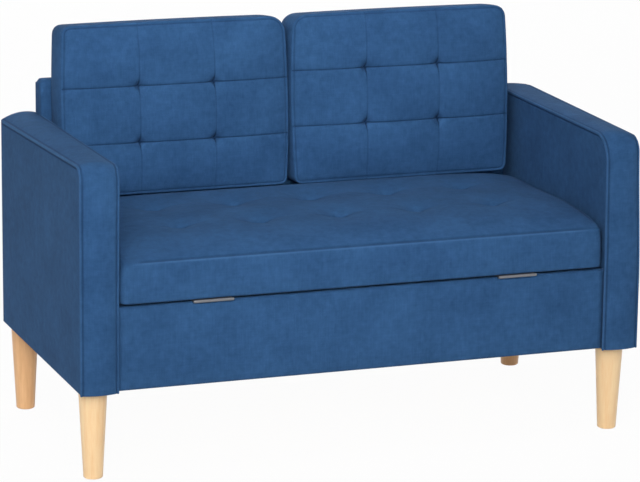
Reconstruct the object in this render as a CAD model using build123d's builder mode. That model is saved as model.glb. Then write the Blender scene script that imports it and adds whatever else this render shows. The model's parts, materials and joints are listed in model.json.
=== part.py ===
from build123d import *
import math
import os

os.makedirs("parts", exist_ok=True)

# Two-seat storage sofa with a seat that lifts on front hinges. Millimetres, +X to the right
# seen from the front, +Y to the back, +Z up, origin on the floor under the middle.

# Overall sizes
overall_width = 1170.0
overall_depth = 596.0
leg_length = 180.0

# Arms: padded covers over a timber frame closed by two thin panels
arm_width = 73.0
arm_seam_height = 620.0
arm_crown = 8.0
arm_corner_radius = 27.0
arm_padding = 12.0
arm_panel_thickness = 3.0
arm_rail_height = 30.0
arm_post_depth = 32.0
arm_middle_rail_height = 60.0

# Backrest: upright rear face, front face leaning back above the seat
back_height = 691.0
back_top_thickness = 40.0
back_lean = 4.3
back_padding = 9.0
back_frame_thickness = 22.0
back_panel_thickness = 3.0
back_rail_height = 45.0
back_post_width = 60.0
back_edge_radius = 8.0

# Storage box under the seat
rail_set_back = 7.0
rail_top_height = 347.0
rail_padding = 5.0
rail_board_thickness = 22.0
rail_edge_radius = 7.0
side_board_thickness = 15.0
rear_board_thickness = 18.0
floor_board_thickness = 6.0
bearer_width = 45.0
bearer_height = 20.0
bearer_count = 3
bearer_lift = 2.0
corner_block_leg = 30.0
corner_block_drop = 25.0

# Butt hinges on the front rail, barrel forwards
hinge_length = 80.0
hinge_end_inset = 193.0
hinge_knuckles = 5
hinge_leaf_width = 30.0
hinge_leaf_thickness = 1.5
hinge_leaf_gap = 0.4
hinge_barrel_radius = 3.2
hinge_barrel_forward = 4.5
hinge_pin_radius = 1.7
hinge_pin_head_radius = 2.6
hinge_pin_head_height = 1.2
hinge_pin_clearance = 0.05
hinge_knuckle_gap = 0.3
hinge_notch_clearance = 0.5
screw_setback = 19.0
screw_spacing = 28.0
screw_count = 3
screw_radius = 1.9
screw_head_radius = 3.3
screw_length = 13.0
screw_clearance = 0.1

# Seat lid
seat_set_back = 5.0
seat_side_gap = 5.0
seat_rear_gap = 5.0
seat_rest_gap = 0.3
seat_edge_height = 81.0
seat_crown = 36.0
seat_side_rise = 14.0
seat_bulge = 5.0
seat_columns = 5
seat_rows = 2
seat_tuft_depth = 10.0
seat_channel_depth = 2.0
seat_corner_radius = 28.0
seat_side_bow = 2.0
seat_bottom_radius = 6.0
seat_skirt = 8.0
seat_board_thickness = 15.0
seat_board_radius = 30.0
seat_core_inset = 45.0
seat_core_height = 45.0

# Sewn padding: how steeply a crown rises at its edges, and sections for each swell
crown_power = 4
tuft_power = 3
swell_sections = 6

# Back cushions
cushion_end_gap = 25.0
cushion_gap = 20.0
cushion_height = 346.0
cushion_thickness = 75.0
cushion_back_gap = 0.4
cushion_seat_gap = 0.6
cushion_crown = 20.0
cushion_side_rise = 0.0
cushion_bulge = 5.0
cushion_columns = 2
cushion_rows = 2
cushion_tuft_depth = 15.0
cushion_channel_depth = 4.0
cushion_corner_radius = 32.0
cushion_side_bow = 5.0
cushion_core_inset = 50.0
cushion_core_thickness = 45.0

# Legs
leg_top_diameter = 57.0
leg_foot_diameter = 38.0
leg_front_inset = 50.0
leg_rear_inset = 36.0
leg_edge_bevel = 1.8

# Bolts and threaded inserts
bolt_radius = 4.0
bolt_clearance = 0.3
bolt_head_radius = 7.5
bolt_head_height = 4.5
bolt_head_bevel = 1.8
bolt_reach = 22.0
bolt_height = 290.0
bolt_head_room = 3.0
arm_bolt_count = 3
arm_bolt_spacing = 150.0
insert_radius = 6.0
insert_length = 18.0
insert_thread_clearance = 0.05
hanger_depth_in_leg = 30.0

# Lines that the pieces share
half_width = overall_width / 2
half_depth = overall_depth / 2
underside = leg_length
inner_x = half_width - arm_width
arm_front = -half_depth + arm_crown
arm_rear = half_depth

arm_cavity_inner = inner_x + arm_padding
arm_cavity_outer = half_width - arm_padding
arm_timber_inner = arm_cavity_inner + arm_panel_thickness
arm_timber_outer = arm_cavity_outer - arm_panel_thickness
arm_cavity_front = arm_front + arm_padding
arm_cavity_rear = arm_rear - arm_padding
arm_cavity_top = arm_seam_height - arm_padding
leg_x = (arm_timber_inner + arm_timber_outer) / 2
leg_ys = {"front": arm_front + leg_front_inset, "rear": arm_rear - leg_rear_inset}

rail_front = arm_front + rail_set_back
rail_board_front = rail_front + rail_padding
rail_board_rear = rail_board_front + rail_board_thickness
hinge_offset = inner_x - hinge_end_inset
hinge_y = rail_front - hinge_barrel_forward
hinge_z = rail_top_height + hinge_leaf_thickness + hinge_leaf_gap / 2
seat_bottom = hinge_z + hinge_leaf_gap / 2 + hinge_leaf_thickness
rest_height = seat_bottom - seat_rest_gap

back_lean_tan = math.tan(math.radians(back_lean))
back_top_front = half_depth - back_top_thickness
back_foot_front = back_top_front - (back_height - seat_bottom) * back_lean_tan
back_frame_rear = half_depth - back_padding
back_frame_front = back_frame_rear - back_frame_thickness
back_panel_front = back_frame_front - back_panel_thickness
back_cavity_top = back_height - back_padding
back_cavity_x = inner_x - back_padding

rear_board_rear = back_foot_front
rear_board_front = rear_board_rear - rear_board_thickness
side_board_inner = inner_x - side_board_thickness
floor_bottom = underside + bearer_lift + bearer_height
floor_top = floor_bottom + floor_board_thickness

seat_front = arm_front + seat_set_back
seat_rear = back_foot_front - seat_rear_gap
seat_half_width = inner_x - seat_side_gap
seat_edge = seat_bottom + seat_edge_height
seat_top = seat_edge + seat_crown + seat_bulge


def save(piece, node):
    """Label a finished piece and write its STEP file."""
    piece.part.label = node
    export_step(piece.part, f"parts/{node}.step")


def bore(plane, radius, depth):
    """Cut a round hole from a plane along its normal, in the open part."""
    with BuildSketch(plane) as mouth:
        Circle(radius)
    extrude(mouth.sketch, amount=depth, mode=Mode.SUBTRACT)


def block(low, high, mode=Mode.ADD):
    """A rectangular block between two opposite corners, in the open part."""
    with Locations(low):
        Box(*(b - a for a, b in zip(low, high)), align=(Align.MIN, Align.MIN, Align.MIN), mode=mode)


def pocket(low, high):
    """Cut a rectangular space between two opposite corners, in the open part."""
    block(low, high, Mode.SUBTRACT)


def board(low, high, bores=()):
    """A board or timber between two opposite corners, with round holes."""
    with BuildPart() as piece:
        block(low, high)
        for plane, radius, depth in bores:
            bore(plane, radius, depth)
    return piece


def sided(side, low, high):
    """Swap the X ends of a span that is given for the right-hand side."""
    return (low, high) if side > 0 else (-high, -low)


# Places of the bolts, each a plane at the bolt head whose normal runs along the shank
box_middle_y = (rail_board_rear + rear_board_front) / 2
arm_bolt_ys = [
    box_middle_y + arm_bolt_spacing * (index - (arm_bolt_count - 1) / 2) for index in range(arm_bolt_count)
]
back_bolt_x = side_board_inner - corner_block_leg - bolt_head_radius - bolt_head_room
back_post_xs = [0.0, back_bolt_x, -back_bolt_x]
arm_bolt_length = arm_timber_inner - side_board_inner + bolt_reach
back_bolt_length = back_frame_front - rear_board_front + insert_length
bolt_hole_radius = bolt_radius + bolt_clearance


def arm_bolt_plane(side, y, x):
    """A plane across an arm bolt at distance x from the middle of the sofa."""
    return Plane((side * x, y, bolt_height), x_dir=(0, 1, 0), z_dir=(side, 0, 0))


def back_bolt_plane(x, y):
    """A plane across a backrest bolt at depth y."""
    return Plane((x, y, bolt_height), x_dir=(1, 0, 0), z_dir=(0, 1, 0))


def leg_plane(side, y, z):
    """A level plane on a leg's axis, normal upwards."""
    return Plane((side * leg_x, y, z))


# Arms
def crowned_section(x_low, x_high, seam, crest, root):
    """Section of a padded strip: straight at its root and sides, arched from seam to seam."""
    with BuildLine() as outline:
        Polyline((x_low, seam), (x_low, root), (x_high, root), (x_high, seam))
        ThreePointArc((x_high, seam), ((x_low + x_high) / 2, crest), (x_low, seam))
    make_face(outline.edges())


def arm_cover(side):
    """Padded cover of one arm: flat sides, crowned strip over the top and down the front."""
    x_low, x_high = sided(side, inner_x, half_width)
    corner_y = arm_front + arm_corner_radius
    corner_z = arm_seam_height - arm_corner_radius
    cavity_low, cavity_high = sided(side, arm_cavity_inner, arm_cavity_outer)
    with BuildPart() as cover:
        with BuildSketch(Plane.XY.offset(underside)):
            crowned_section(x_low, x_high, arm_front, -half_depth, arm_rear)
        extrude(amount=corner_z - underside)
        with BuildSketch(Plane.XY.offset(corner_z)):
            crowned_section(x_low, x_high, arm_front, -half_depth, corner_y)
        revolve(axis=Axis((0, corner_y, corner_z), (-1, 0, 0)), revolution_arc=90)
        with BuildSketch(Plane((0, arm_rear, 0), x_dir=(1, 0, 0), z_dir=(0, -1, 0))):
            crowned_section(x_low, x_high, arm_seam_height, arm_seam_height + arm_crown, corner_z)
        extrude(amount=arm_rear - corner_y)
        pocket((cavity_low, arm_cavity_front, underside), (cavity_high, arm_cavity_rear, arm_cavity_top))
        for y in arm_bolt_ys:
            bore(arm_bolt_plane(side, y, inner_x), bolt_hole_radius, arm_padding)
    return cover


def arm_timbers(side):
    """The five timbers and two thin panels inside one arm, by name."""
    x_low, x_high = sided(side, arm_timber_inner, arm_timber_outer)
    inner_low, inner_high = sided(side, arm_cavity_inner, arm_timber_inner)
    outer_low, outer_high = sided(side, arm_timber_outer, arm_cavity_outer)
    low_rail_top = underside + arm_rail_height
    top_rail_bottom = arm_cavity_top - arm_rail_height
    post_front = arm_cavity_front + arm_post_depth
    post_rear = arm_cavity_rear - arm_post_depth
    middle_low = bolt_height - arm_middle_rail_height / 2
    middle_high = bolt_height + arm_middle_rail_height / 2
    leg_bores = []
    for y in leg_ys.values():
        leg_bores.append((leg_plane(side, y, underside), insert_radius, insert_length))
        leg_bores.append((leg_plane(side, y, underside), bolt_hole_radius, bolt_reach))
    insert_bores = []
    panel_bores = []
    for y in arm_bolt_ys:
        insert_bores.append((arm_bolt_plane(side, y, arm_timber_inner), insert_radius, insert_length))
        insert_bores.append((arm_bolt_plane(side, y, arm_timber_inner), bolt_hole_radius, bolt_reach))
        panel_bores.append((arm_bolt_plane(side, y, arm_cavity_inner), bolt_hole_radius, arm_panel_thickness))
    return {
        "bottom_rail": board(
            (x_low, arm_cavity_front, underside), (x_high, arm_cavity_rear, low_rail_top), leg_bores
        ),
        "top_rail": board(
            (x_low, arm_cavity_front, top_rail_bottom), (x_high, arm_cavity_rear, arm_cavity_top)
        ),
        "front_post": board(
            (x_low, arm_cavity_front, low_rail_top), (x_high, post_front, top_rail_bottom)
        ),
        "rear_post": board((x_low, post_rear, low_rail_top), (x_high, arm_cavity_rear, top_rail_bottom)),
        "middle_rail": board((x_low, post_front, middle_low), (x_high, post_rear, middle_high), insert_bores),
        "inner_panel": board(
            (inner_low, arm_cavity_front, underside),
            (inner_high, arm_cavity_rear, arm_cavity_top),
            panel_bores,
        ),
        "outer_panel": board(
            (outer_low, arm_cavity_front, underside), (outer_high, arm_cavity_rear, arm_cavity_top)
        ),
    }


for side, side_name in ((-1, "left"), (1, "right")):
    save(arm_cover(side), f"{side_name}_arm_cover")
    for timber_name, timber in arm_timbers(side).items():
        save(timber, f"{side_name}_arm_{timber_name}")

# Backrest cover, open underneath
with BuildPart() as back_cover:
    with BuildSketch(Plane.YZ.offset(-inner_x)) as back_profile:
        with BuildLine():
            Polyline(
                (half_depth, underside),
                (half_depth, back_height),
                (back_top_front, back_height),
                (back_foot_front, seat_bottom),
                (back_foot_front, underside),
                close=True,
            )
        make_face()
    extrude(amount=2 * inner_x)
    fillet(back_cover.faces().sort_by(Axis.Z)[-1].edges(), back_edge_radius)
    pocket((-back_cavity_x, back_panel_front, underside), (back_cavity_x, back_frame_rear, back_cavity_top))
    for x in back_post_xs:
        bore(back_bolt_plane(x, back_foot_front), bolt_hole_radius, back_panel_front - back_foot_front)
save(back_cover, "back_cover")

# Backrest frame
back_rail_low = underside + back_rail_height
back_rail_high = back_cavity_top - back_rail_height
save(
    board(
        (-back_cavity_x, back_frame_front, underside), (back_cavity_x, back_frame_rear, back_rail_low)
    ),
    "back_bottom_rail",
)
save(
    board(
        (-back_cavity_x, back_frame_front, back_rail_high), (back_cavity_x, back_frame_rear, back_cavity_top)
    ),
    "back_top_rail",
)
for post_name, x in zip(("centre", "right", "left"), back_post_xs):
    post_plane = back_bolt_plane(x, back_frame_front)
    save(
        board(
            (x - back_post_width / 2, back_frame_front, back_rail_low),
            (x + back_post_width / 2, back_frame_rear, back_rail_high),
            [(post_plane, insert_radius, insert_length)],
        ),
        f"back_{post_name}_post",
    )
panel_bores = [
    (back_bolt_plane(x, back_panel_front), bolt_hole_radius, back_panel_thickness) for x in back_post_xs
]
save(
    board(
        (-back_cavity_x, back_panel_front, underside),
        (back_cavity_x, back_frame_front, back_cavity_top),
        panel_bores,
    ),
    "back_panel",
)


# Hinge places: the screws' planes lie on the face of the leaf that their heads are let into
screw_places = [
    (side * hinge_offset + screw_spacing * (index - (screw_count - 1) / 2), hinge_y + screw_setback)
    for side in (-1, 1)
    for index in range(screw_count)
]
frame_leaf_top = hinge_z - hinge_leaf_gap / 2
seat_leaf_bottom = hinge_z + hinge_leaf_gap / 2
screw_hole_radius = screw_radius + screw_clearance


def frame_screw_plane(x, y):
    """Plane on the frame leaf's upper face, normal down along the screw."""
    return Plane((x, y, frame_leaf_top), x_dir=(1, 0, 0), z_dir=(0, 0, -1))


def seat_screw_plane(x, y):
    """Plane on the seat leaf's lower face, normal up along the screw."""
    return Plane((x, y, seat_leaf_bottom), x_dir=(1, 0, 0), z_dir=(0, 0, 1))


# Storage box
with BuildPart() as front_rail_cover:
    with BuildSketch(Plane.YZ.offset(-inner_x)) as wrap:
        with BuildLine():
            Polyline(
                (rail_front, underside),
                (rail_front, rail_top_height),
                (rail_board_rear, rail_top_height),
                (rail_board_rear, underside),
                close=True,
            )
        make_face()
        fillet(wrap.vertices().group_by(Axis.Y)[0], rail_edge_radius)
        with BuildLine():
            Polyline(
                (rail_board_front, underside + rail_padding),
                (rail_board_front, rail_top_height - rail_padding),
                (rail_board_rear, rail_top_height - rail_padding),
                (rail_board_rear, underside + rail_padding),
                close=True,
            )
        make_face(mode=Mode.SUBTRACT)
    extrude(amount=2 * inner_x)
    for x, y in screw_places:
        bore(frame_screw_plane(x, y), screw_hole_radius, screw_length)
save(front_rail_cover, "front_rail_cover")

save(
    board(
        (-inner_x, rail_board_front, underside + rail_padding),
        (inner_x, rail_board_rear, rail_top_height - rail_padding),
        [(frame_screw_plane(x, y), screw_hole_radius, screw_length) for x, y in screw_places],
    ),
    "front_rail_board",
)
rear_bores = [
    (back_bolt_plane(x, rear_board_front), bolt_hole_radius, rear_board_thickness) for x in back_post_xs
]
save(
    board((-inner_x, rear_board_front, underside), (inner_x, rear_board_rear, rest_height), rear_bores),
    "rear_board",
)
for side, side_name in ((-1, "left"), (1, "right")):
    x_low, x_high = sided(side, side_board_inner, inner_x)
    side_bores = [
        (arm_bolt_plane(side, y, side_board_inner), bolt_hole_radius, side_board_thickness)
        for y in arm_bolt_ys
    ]
    save(
        board((x_low, rail_board_rear, underside), (x_high, rear_board_front, rest_height), side_bores),
        f"{side_name}_side_board",
    )
save(
    board(
        (-side_board_inner, rail_board_rear, floor_bottom), (side_board_inner, rear_board_front, floor_top)
    ),
    "storage_floor",
)

bearer_pitch = 2 * side_board_inner / (bearer_count + 1)
with BuildPart() as floor_bearers:
    with Locations((0, box_middle_y, underside + bearer_lift)):
        with GridLocations(bearer_pitch, 1, bearer_count, 1):
            Box(
                bearer_width,
                rear_board_front - rail_board_rear,
                bearer_height,
                align=(Align.CENTER, Align.CENTER, Align.MIN),
            )
save(floor_bearers, "floor_bearers")

corner_block_top = rest_height - corner_block_drop
with BuildPart() as corner_blocks:
    with BuildSketch(Plane.XY.offset(floor_top)):
        for side in (-1, 1):
            for y, inward in ((rail_board_rear, 1), (rear_board_front, -1)):
                corner = (side * side_board_inner, y)
                with BuildLine():
                    Polyline(
                        corner,
                        (side * (side_board_inner - corner_block_leg), y),
                        (side * side_board_inner, y + inward * corner_block_leg),
                        close=True,
                    )
                make_face()
    extrude(amount=corner_block_top - floor_top)
save(corner_blocks, "corner_blocks")


# Bolts and inserts
def bolt_group(planes, length):
    """Bevel-headed bolts, each with its head under a plane and its shank along the normal."""
    with BuildPart() as group:
        for plane in planes:
            with BuildSketch(plane):
                Circle(bolt_head_radius)
            extrude(amount=-bolt_head_height)
        flats = [face for face in group.faces() if face.geom_type == GeomType.PLANE]
        crowns = [face for face in flats if face.normal_at().dot(planes[0].z_dir) < 0]
        chamfer([edge for face in crowns for edge in face.edges()], bolt_head_bevel)
        for plane in planes:
            with BuildSketch(plane):
                Circle(bolt_radius)
            extrude(amount=length)
    return group


def insert_group(planes):
    """Threaded inserts: sleeves that start at a plane and run along its normal."""
    with BuildPart() as group:
        for plane in planes:
            with BuildSketch(plane):
                Circle(insert_radius)
                Circle(bolt_radius + insert_thread_clearance, mode=Mode.SUBTRACT)
            extrude(amount=insert_length)
    return group


for side, side_name in ((-1, "left"), (1, "right")):
    head_planes = [arm_bolt_plane(side, y, side_board_inner) for y in arm_bolt_ys]
    insert_planes = [arm_bolt_plane(side, y, arm_timber_inner) for y in arm_bolt_ys]
    save(bolt_group(head_planes, arm_bolt_length), f"{side_name}_arm_bolts")
    save(insert_group(insert_planes), f"{side_name}_arm_inserts")
save(bolt_group([back_bolt_plane(x, rear_board_front) for x in back_post_xs], back_bolt_length), "back_bolts")
save(insert_group([back_bolt_plane(x, back_frame_front) for x in back_post_xs]), "back_inserts")


# Legs: turned tapers, each on a hanger bolt
def turned_leg(side, y):
    """One tapered leg with a bevelled foot and shoulder, bored for its hanger bolt."""
    foot = (side * leg_x, y, 0)
    with BuildPart() as leg:
        with BuildSketch(Plane(foot, x_dir=(1, 0, 0), z_dir=(0, -1, 0))) as half_leg:
            with BuildLine():
                Polyline(
                    (0, 0),
                    (leg_foot_diameter / 2, 0),
                    (leg_top_diameter / 2, leg_length),
                    (0, leg_length),
                    close=True,
                )
            make_face()
            chamfer(half_leg.vertices().sort_by(Axis.X)[-2:], leg_edge_bevel)
        revolve(axis=Axis(foot, (0, 0, 1)))
        bore(leg_plane(side, y, leg_length - hanger_depth_in_leg), bolt_radius, hanger_depth_in_leg)
    return leg


for end_name, y in leg_ys.items():
    for side, side_name in ((-1, "left"), (1, "right")):
        save(turned_leg(side, y), f"{end_name}_{side_name}_leg")

leg_spots = [(side, y) for side in (-1, 1) for y in leg_ys.values()]
with BuildPart() as hanger_bolts:
    for side, y in leg_spots:
        with BuildSketch(leg_plane(side, y, leg_length - hanger_depth_in_leg)):
            Circle(bolt_radius)
        extrude(amount=hanger_depth_in_leg + insert_length)
save(hanger_bolts, "leg_hanger_bolts")
save(insert_group([leg_plane(side, y, underside) for side, y in leg_spots]), "leg_inserts")

# Butt hinges
knuckle_pitch = hinge_length / hinge_knuckles
knuckle_length = knuckle_pitch - hinge_knuckle_gap


def hinge_leaf(side, first, leaf_low, screw_plane):
    """One leaf with every second knuckle, starting at the given one."""
    hinge_left = side * hinge_offset - hinge_length / 2
    own = range(first, hinge_knuckles, 2)
    others = [index for index in range(hinge_knuckles) if index not in own]
    leaf_rear = hinge_y + hinge_leaf_width
    leaf_high = leaf_low + hinge_leaf_thickness
    notch = hinge_barrel_radius + hinge_notch_clearance
    with BuildPart() as leaf:
        block((hinge_left, hinge_y, leaf_low), (hinge_left + hinge_length, leaf_rear, leaf_high))
        for index in own:
            with BuildSketch(Plane.YZ.offset(hinge_left + index * knuckle_pitch + hinge_knuckle_gap / 2)):
                with Locations((hinge_y, hinge_z)):
                    Circle(hinge_barrel_radius)
            extrude(amount=knuckle_length)
        for index in others:
            notch_left = hinge_left + index * knuckle_pitch - hinge_knuckle_gap / 2
            notch_right = notch_left + knuckle_pitch + hinge_knuckle_gap
            pocket((notch_left, hinge_y - notch, leaf_low), (notch_right, hinge_y + notch, leaf_high))
        with BuildSketch(Plane.YZ.offset(hinge_left)):
            with Locations((hinge_y, hinge_z)):
                Circle(hinge_pin_radius + hinge_pin_clearance)
        extrude(amount=hinge_length, mode=Mode.SUBTRACT)
        for x, y in screw_places:
            if x * side > 0:
                with BuildSketch(screw_plane(x, y)):
                    Circle(screw_head_radius + screw_clearance)
                with BuildSketch(screw_plane(x, y).offset(hinge_leaf_thickness)):
                    Circle(screw_hole_radius)
                loft(ruled=True, mode=Mode.SUBTRACT)
    return leaf


def hinge_pin(side):
    """Pin through all the knuckles, with a small head at each end."""
    start = side * hinge_offset - hinge_length / 2 - hinge_pin_head_height
    with BuildPart() as pin:
        with BuildSketch(Plane.YZ.offset(start)):
            with Locations((hinge_y, hinge_z)):
                Circle(hinge_pin_radius)
        extrude(amount=hinge_length + 2 * hinge_pin_head_height)
        for head_start in (start, start + hinge_pin_head_height + hinge_length):
            with BuildSketch(Plane.YZ.offset(head_start)):
                with Locations((hinge_y, hinge_z)):
                    Circle(hinge_pin_head_radius)
            extrude(amount=hinge_pin_head_height)
    return pin


def screw_group(screw_plane):
    """Countersunk screws whose heads lie flush in their leaves."""
    with BuildPart() as group:
        for x, y in screw_places:
            with BuildSketch(screw_plane(x, y)):
                Circle(screw_head_radius)
            with BuildSketch(screw_plane(x, y).offset(hinge_leaf_thickness)):
                Circle(screw_radius)
            loft(ruled=True)
            with BuildSketch(screw_plane(x, y)):
                Circle(screw_radius)
            extrude(amount=screw_length)
    return group


for side, side_name in ((-1, "left"), (1, "right")):
    frame_leaf = hinge_leaf(side, 0, frame_leaf_top - hinge_leaf_thickness, frame_screw_plane)
    save(frame_leaf, f"{side_name}_hinge_frame_leaf")
    save(hinge_leaf(side, 1, seat_leaf_bottom, seat_screw_plane), f"{side_name}_hinge_seat_leaf")
    save(hinge_pin(side), f"{side_name}_hinge_pin")
save(screw_group(frame_screw_plane), "hinge_frame_screws")
save(screw_group(seat_screw_plane), "hinge_seat_screws")


# Tufted padding
def dome(share):
    """Height share of a padded face, 0 at both edges and nearly 1 over the middle."""
    return 1 - abs(2 * share - 1) ** crown_power


def quilted_block(plane, size, base, edge, crown, side_rise, bulge, columns, rows, tuft, channel):
    """Loft a block whose upper face is domed and drawn down at a grid of sewn tufts.

    The block lies on the plane from its origin along its X and Y. Its sections cross X, and the
    upper line of each is one arc for each row of swells.
    """
    length, breadth = size
    sections = []
    for station in range((columns + 1) * swell_sections + 1):
        share = station / ((columns + 1) * swell_sections)
        column, step = divmod(station, swell_sections)
        near_seam = abs(2 * step / swell_sections - 1) ** tuft_power
        outer_half = share * (columns + 1) < 0.5 or share * (columns + 1) > columns + 0.5
        dip = channel if outer_half else channel + (tuft - channel) * near_seam
        swell = bulge - (0 if outer_half else channel * near_seam)
        rise = crown * dome(share) + side_rise * (1 - dome(share))
        rows_at = [row / (rows + 1) for row in range(rows + 2)]
        nodes = []
        for row_share in rows_at:
            sunk = dip * dome(share) if 0 < row_share < 1 else 0
            nodes.append((breadth * row_share, edge + rise * dome(row_share) - sunk))
        origin = plane.origin + plane.x_dir * (length * share)
        with BuildSketch(Plane(origin, x_dir=plane.y_dir, z_dir=plane.x_dir)) as section:
            with BuildLine():
                for index in range(rows + 1):
                    middle_share = (rows_at[index] + rows_at[index + 1]) / 2
                    top = edge + rise * dome(middle_share) + swell
                    ThreePointArc(nodes[index], (breadth * middle_share, top), nodes[index + 1])
                Polyline((breadth, edge), (breadth, base), (0, base), (0, edge))
            make_face()
        sections.append(section.sketch)
    loft(sections, ruled=True)


def bowed_outline(width, height, bow, corner):
    """A rectangle standing on the local X axis whose sides bow out and whose corners are round."""
    with BuildLine() as sides:
        ThreePointArc((-width / 2 + bow, bow), (0, 0), (width / 2 - bow, bow))
        ThreePointArc((width / 2 - bow, bow), (width / 2, height / 2), (width / 2 - bow, height - bow))
        ThreePointArc((width / 2 - bow, height - bow), (0, height), (-width / 2 + bow, height - bow))
        ThreePointArc((-width / 2 + bow, height - bow), (-width / 2, height / 2), (-width / 2 + bow, bow))
    outline = make_face(sides.edges())
    fillet(outline.vertices(), corner)


# Seat lid
seat_depth = seat_rear - seat_front
board_top = seat_bottom + seat_board_thickness
core_low = (-seat_half_width + seat_core_inset, seat_front + seat_core_inset, board_top)
core_high = (
    seat_half_width - seat_core_inset,
    seat_rear - seat_core_inset,
    board_top + seat_core_height,
)


def seat_board_blank(mode=Mode.ADD):
    """The seat board without its holes, in the open part."""
    with BuildSketch(Plane((0, (seat_front + seat_rear) / 2, seat_bottom))) as outline:
        RectangleRounded(2 * (seat_half_width - seat_skirt), seat_depth - 2 * seat_skirt, seat_board_radius)
    extrude(outline.sketch, amount=seat_board_thickness, mode=mode)


with BuildPart() as seat_pad:
    quilted_block(
        Plane((-seat_half_width, seat_front, 0)),
        (2 * seat_half_width, seat_depth),
        seat_bottom,
        seat_edge,
        seat_crown,
        seat_side_rise,
        seat_bulge,
        seat_columns,
        seat_rows,
        seat_tuft_depth,
        seat_channel_depth,
    )
    with BuildSketch(Plane((0, seat_front, seat_bottom))):
        bowed_outline(2 * seat_half_width, seat_depth, seat_side_bow, seat_corner_radius)
    extrude(amount=seat_top - seat_bottom, mode=Mode.INTERSECT)
    fillet(seat_pad.faces().sort_by(Axis.Z)[0].edges(), seat_bottom_radius)
    seat_board_blank(Mode.SUBTRACT)
    pocket(core_low, core_high)
save(seat_pad, "seat_pad")
with BuildPart() as seat_board:
    seat_board_blank()
    for x, y in screw_places:
        bore(seat_screw_plane(x, y), screw_hole_radius, screw_length)
save(seat_board, "seat_board")
save(board(core_low, core_high), "seat_foam")

# Back cushions, parallel to the leaning front of the backrest
lean_angle = math.radians(back_lean)
cushion_width = inner_x - cushion_end_gap - cushion_gap / 2
seat_rear_swell = seat_edge + seat_crown * dome((seat_rows + 0.5) / (seat_rows + 1)) + seat_bulge
cushion_foot_z = seat_rear_swell + cushion_seat_gap - cushion_thickness * math.sin(lean_angle)
cushion_foot_y = back_foot_front + (cushion_foot_z - seat_bottom) * back_lean_tan
for side, side_name in ((-1, "left"), (1, "right")):
    centre_x = side * (cushion_width + cushion_gap) / 2
    foot = Plane(
        (centre_x, cushion_foot_y, cushion_foot_z),
        x_dir=(1, 0, 0),
        z_dir=(0, -math.cos(lean_angle), math.sin(lean_angle)),
    )
    rear_face = foot.offset(cushion_back_gap)
    core_plane = rear_face.offset((cushion_thickness - cushion_core_thickness) / 2)
    core_size = (cushion_width - 2 * cushion_core_inset, cushion_height - 2 * cushion_core_inset)
    with BuildPart() as cushion:
        quilted_block(
            Plane(
                rear_face.origin - rear_face.x_dir * (cushion_width / 2),
                x_dir=rear_face.x_dir,
                z_dir=rear_face.z_dir,
            ),
            (cushion_width, cushion_height),
            0.0,
            cushion_thickness,
            cushion_crown,
            cushion_side_rise,
            cushion_bulge,
            cushion_columns,
            cushion_rows,
            cushion_tuft_depth,
            cushion_channel_depth,
        )
        with BuildSketch(rear_face):
            bowed_outline(cushion_width, cushion_height, cushion_side_bow, cushion_corner_radius)
        extrude(amount=cushion_thickness + cushion_crown + cushion_bulge, mode=Mode.INTERSECT)
        with BuildSketch(core_plane):
            with Locations((0, cushion_height / 2)):
                Rectangle(*core_size)
        extrude(amount=cushion_core_thickness, mode=Mode.SUBTRACT)
    save(cushion, f"{side_name}_cushion_cover")
    with BuildPart() as core:
        with BuildSketch(core_plane):
            with Locations((0, cushion_height / 2)):
                Rectangle(*core_size)
        extrude(amount=cushion_core_thickness)
    save(core, f"{side_name}_cushion_foam")
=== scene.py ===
"""Looks of a two-seat storage sofa: padded covers, turned legs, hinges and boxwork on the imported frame."""

import json
import logging
import math
from dataclasses import dataclass, replace
from enum import Enum
from typing import Any

import bmesh
import bpy
import numpy as np
from mathutils import Matrix, Vector


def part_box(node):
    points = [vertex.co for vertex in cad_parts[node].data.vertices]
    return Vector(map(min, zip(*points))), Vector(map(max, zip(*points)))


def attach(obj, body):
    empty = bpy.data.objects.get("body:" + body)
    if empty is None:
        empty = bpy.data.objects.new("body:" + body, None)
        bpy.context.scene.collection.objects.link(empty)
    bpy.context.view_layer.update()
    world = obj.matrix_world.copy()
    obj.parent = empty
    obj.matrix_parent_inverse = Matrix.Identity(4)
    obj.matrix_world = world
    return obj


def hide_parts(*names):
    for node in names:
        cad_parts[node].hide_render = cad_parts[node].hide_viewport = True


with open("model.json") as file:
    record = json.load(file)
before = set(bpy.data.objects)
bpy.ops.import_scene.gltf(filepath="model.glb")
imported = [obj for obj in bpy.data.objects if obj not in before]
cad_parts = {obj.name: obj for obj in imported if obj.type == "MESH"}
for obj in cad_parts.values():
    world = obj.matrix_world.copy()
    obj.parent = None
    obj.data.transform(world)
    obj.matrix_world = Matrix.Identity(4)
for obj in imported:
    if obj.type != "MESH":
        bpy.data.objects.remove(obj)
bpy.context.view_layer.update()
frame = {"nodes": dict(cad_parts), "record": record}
LOG = logging.getLogger("sofa")
# Closer than TOUCH, a point is on a face. FAR is off every sewn line. TINY keeps divisors above 0
TOUCH = 1e-6
TINY = 1e-9
FAR = 1.0
Colour = tuple[float, float, float, float]
Piece = bpy.types.Object
Material = bpy.types.Material
Array = np.ndarray


class Side(Enum):
    """Which end of the sofa a piece is on, seen from the front."""

    LEFT = -1
    RIGHT = 1

    @property
    def word(self) -> str:
        """The side's name as it stands in node names."""
        return self.name.lower()


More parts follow.
